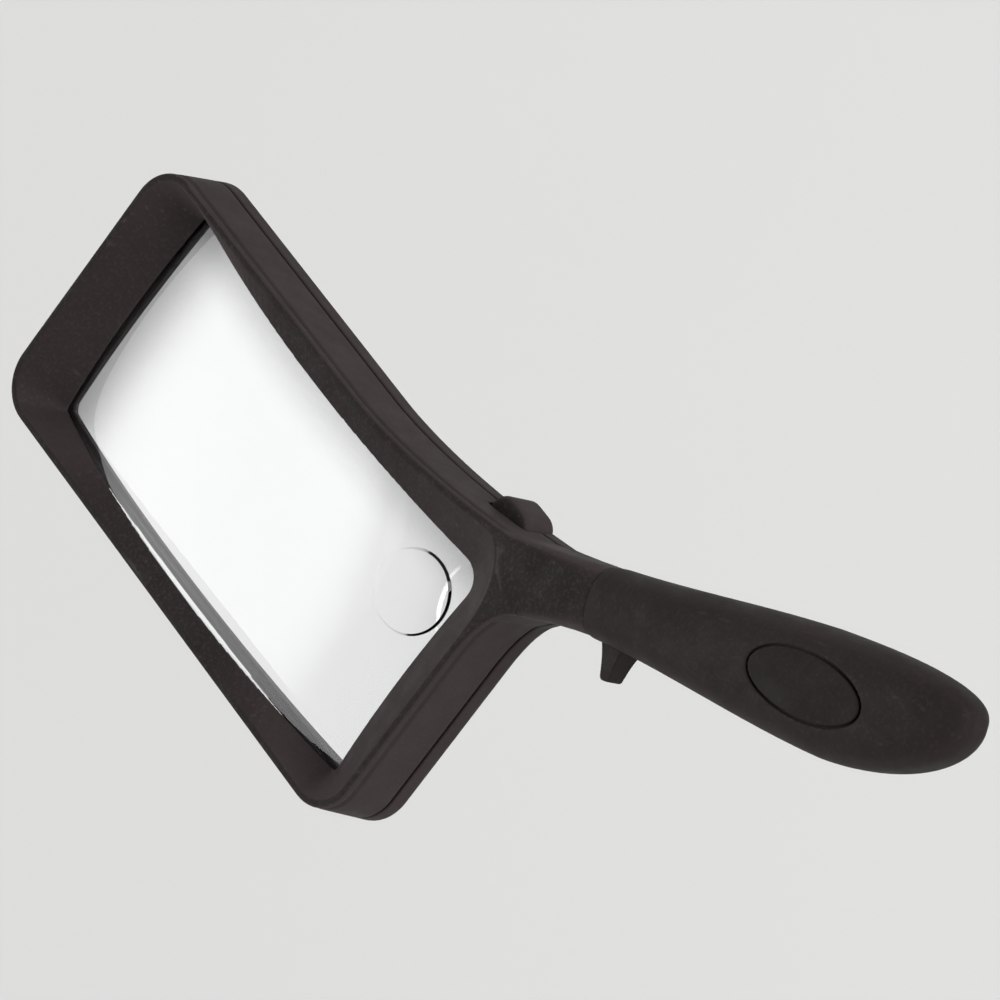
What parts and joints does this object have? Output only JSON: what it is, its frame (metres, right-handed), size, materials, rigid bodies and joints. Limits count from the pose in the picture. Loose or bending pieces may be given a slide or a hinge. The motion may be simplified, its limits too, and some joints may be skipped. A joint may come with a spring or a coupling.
{
  "type": "lighted magnifying glass",
  "caption": "Lighted hand magnifier: rectangular lens with a stronger round spot in a deep black frame, lamp beside the neck, trigger switch, battery handle.",
  "frame": {"origin": "middle of the part's footprint, on the plane that it lies on", "axes": "+Z out of the front of the lens; +X along the lens's long side, towards the handle; +Y towards the side that the handle leans to"},
  "size_m": [0.2128, 0.1104, 0.0176],
  "materials": {
    "frame_plastic": "finely textured black moulding",
    "handle_plastic": "finely textured black moulding",
    "inlay_plastic": "smooth satin black",
    "lens_acrylic": "polished clear acrylic",
    "lamp_clear": "clear",
    "silvered_plastic": "bright vacuum-plated",
    "screw_steel": "zinc plated",
    "contact_brass": "rolled strip",
    "cell_jacket": "shrunk plain jacket",
    "red_jacket": "soft jacket",
    "black_jacket": "soft jacket"
  },
  "bodies": {
    "magnifier": {"front_frame": "frame_plastic", "rear_frame": "frame_plastic", "main_lens": "lens_acrylic", "frame_screw_1": "screw_steel", "frame_screw_2": "screw_steel", "frame_screw_3": "screw_steel", "frame_screw_4": "screw_steel", "neck_screw": "screw_steel", "lamp_housing": "frame_plastic", "lamp_reflector": "silvered_plastic", "lamp_bulb": "lamp_clear", "lamp_window": "lamp_clear", "handle_front_shell": "handle_plastic", "handle_rear_shell": "handle_plastic", "handle_screw": "screw_steel", "thumb_inlay": "inlay_plastic", "battery_1": "cell_jacket", "battery_2": "cell_jacket", "contact_arm": "contact_brass", "switch_contact": "contact_brass", "negative_strip": "contact_brass", "negative_spring": "screw_steel", "trigger_pin": "screw_steel", "red_lead": "red_jacket", "black_lead": "black_jacket"},
    "trigger": {"trigger": "handle_plastic"},
    "cover": {"battery_cover": "handle_plastic"}
  },
  "joints": [
    {"name": "trigger_pull", "type": "hinge", "parent": "magnifier", "child": "trigger", "pos_m": [0.03554, 0.01369, 0.0081], "axis": [0, 0, 1], "range_deg": [0, 8], "stiffness_Nm_per_rad": 0.05, "deforming": ["contact_arm"]},
    {"name": "cover_slide", "type": "slide", "parent": "magnifier", "child": "cover", "axis": [0.8988, 0.4384, 0], "range_m": [0, 0.072]}
  ]
}
